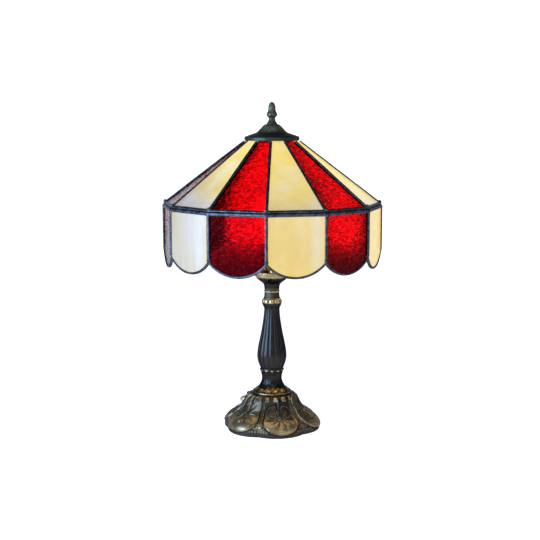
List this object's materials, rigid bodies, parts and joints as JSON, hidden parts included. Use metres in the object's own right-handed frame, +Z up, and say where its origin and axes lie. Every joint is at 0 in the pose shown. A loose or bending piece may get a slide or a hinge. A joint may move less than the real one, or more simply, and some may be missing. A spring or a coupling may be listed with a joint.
{
  "type": "stained glass table lamp",
  "caption": "Table lamp with a many-sided leaded glass shade of red and cream panels on a harp, over a bronze baluster stem and lobed foot; gives warm diffused light.",
  "frame": {"origin": "centre of the foot's underside, on the surface that the lamp stands on", "axes": "+Z up along the stem; -Y is the front, where two panels meet a little left of centre; +X to the right"},
  "size_m": [0.406, 0.4267, 0.606],
  "materials": {
    "red_glass": "hammered transparent cathedral glass",
    "cream_glass": "streaky translucent opalescent glass",
    "came": "lead and solder with black patina",
    "brass": "bright brass",
    "dark_patina": "dark green-black patina, satin",
    "cardboard": "fibre insulating liner",
    "phenolic": "moulded black plastic",
    "knob_plastic": "glossy dark brown",
    "frosted_glass": "frosted inside",
    "aluminium": "threaded bulb base",
    "steel": "zinc plated",
    "foot_bronze": "dark bronze patina, relief brushed gold",
    "stem_bronze": "near-black bronze patina",
    "cup_bronze": "dark bronze with a gold-brushed rim",
    "antique_gold": "antique gold",
    "felt": "black felt",
    "cord_plastic": "clear brown vinyl",
    "plug_plastic": "moulded brown plug with metal blades"
  },
  "bodies": {
    "base": {"baluster": "stem_bronze", "bottom_washer": "steel", "candle_cup": "cup_bronze", "center_contact": "brass", "collar_ring": "antique_gold", "cord_bushing": "phenolic", "cord_coil": "cord_plastic", "felt_pad": "felt", "foot_casting": "foot_bronze", "harp_saddle": "brass", "harp_top_fitting": "brass", "harp_wire": "brass", "lamp_pipe": "steel", "pipe_nuts": "steel", "plug": "plug_plastic", "power_cord": "cord_plastic", "ribbed_neck": "stem_bronze", "screw_shell": "brass", "socket_cap": "brass", "socket_interior": "phenolic", "socket_liner": "cardboard", "socket_shell": "brass", "stem_bell": "foot_bronze"},
    "shade": {"upper_panel_01": "cream_glass", "lower_panel_01": "cream_glass", "upper_panel_02": "red_glass", "lower_panel_02": "red_glass", "upper_panel_03": "cream_glass", "lower_panel_03": "cream_glass", "upper_panel_04": "red_glass", "lower_panel_04": "red_glass", "upper_panel_05": "cream_glass", "lower_panel_05": "cream_glass", "upper_panel_06": "red_glass", "lower_panel_06": "red_glass", "upper_panel_07": "cream_glass", "lower_panel_07": "cream_glass", "upper_panel_08": "red_glass", "lower_panel_08": "red_glass", "upper_panel_09": "cream_glass", "lower_panel_09": "cream_glass", "upper_panel_10": "red_glass", "lower_panel_10": "red_glass", "upper_panel_11": "cream_glass", "lower_panel_11": "cream_glass", "upper_panel_12": "red_glass", "lower_panel_12": "red_glass", "upper_seam_cames": "came", "lower_seam_cames": "came", "upper_rim_came": "came", "lower_rim_came": "came", "scallop_edge_came": "came", "top_ring": "brass", "shade_cap": "dark_patina"},
    "finial": {"finial": "dark_patina"},
    "switch_knob": {"switch_knob": "knob_plastic"},
    "bulb": {"bulb_glass": "frosted_glass", "bulb_base": "aluminium"},
    "harp_sleeve_front": {"harp_sleeve_front": "brass"},
    "harp_sleeve_back": {"harp_sleeve_back": "brass"}
  },
  "joints": [
    {"name": "shade_turn", "type": "hinge", "parent": "base", "child": "shade", "pos_m": [0, 0, 0.5645], "axis": [0, 0, 1], "continuous": true},
    {"name": "finial_screw", "type": "hinge", "parent": "base", "child": "finial", "pos_m": [0, 0, 0.566], "axis": [0, 0, 1], "continuous": true},
    {"name": "knob_turn", "type": "hinge", "parent": "base", "child": "switch_knob", "pos_m": [0.02, 0, 0.3151], "axis": [1, 0, 0], "continuous": true},
    {"name": "bulb_screw", "type": "hinge", "parent": "base", "child": "bulb", "pos_m": [0, 0, 0.335], "axis": [0, 0, 1], "continuous": true},
    {"name": "sleeve_lift_front", "type": "slide", "parent": "base", "child": "harp_sleeve_front", "axis": [0, 0, 1], "range_m": [0, 0.012]},
    {"name": "sleeve_lift_back", "type": "slide", "parent": "base", "child": "harp_sleeve_back", "axis": [0, 0, 1], "range_m": [0, 0.012]}
  ]
}
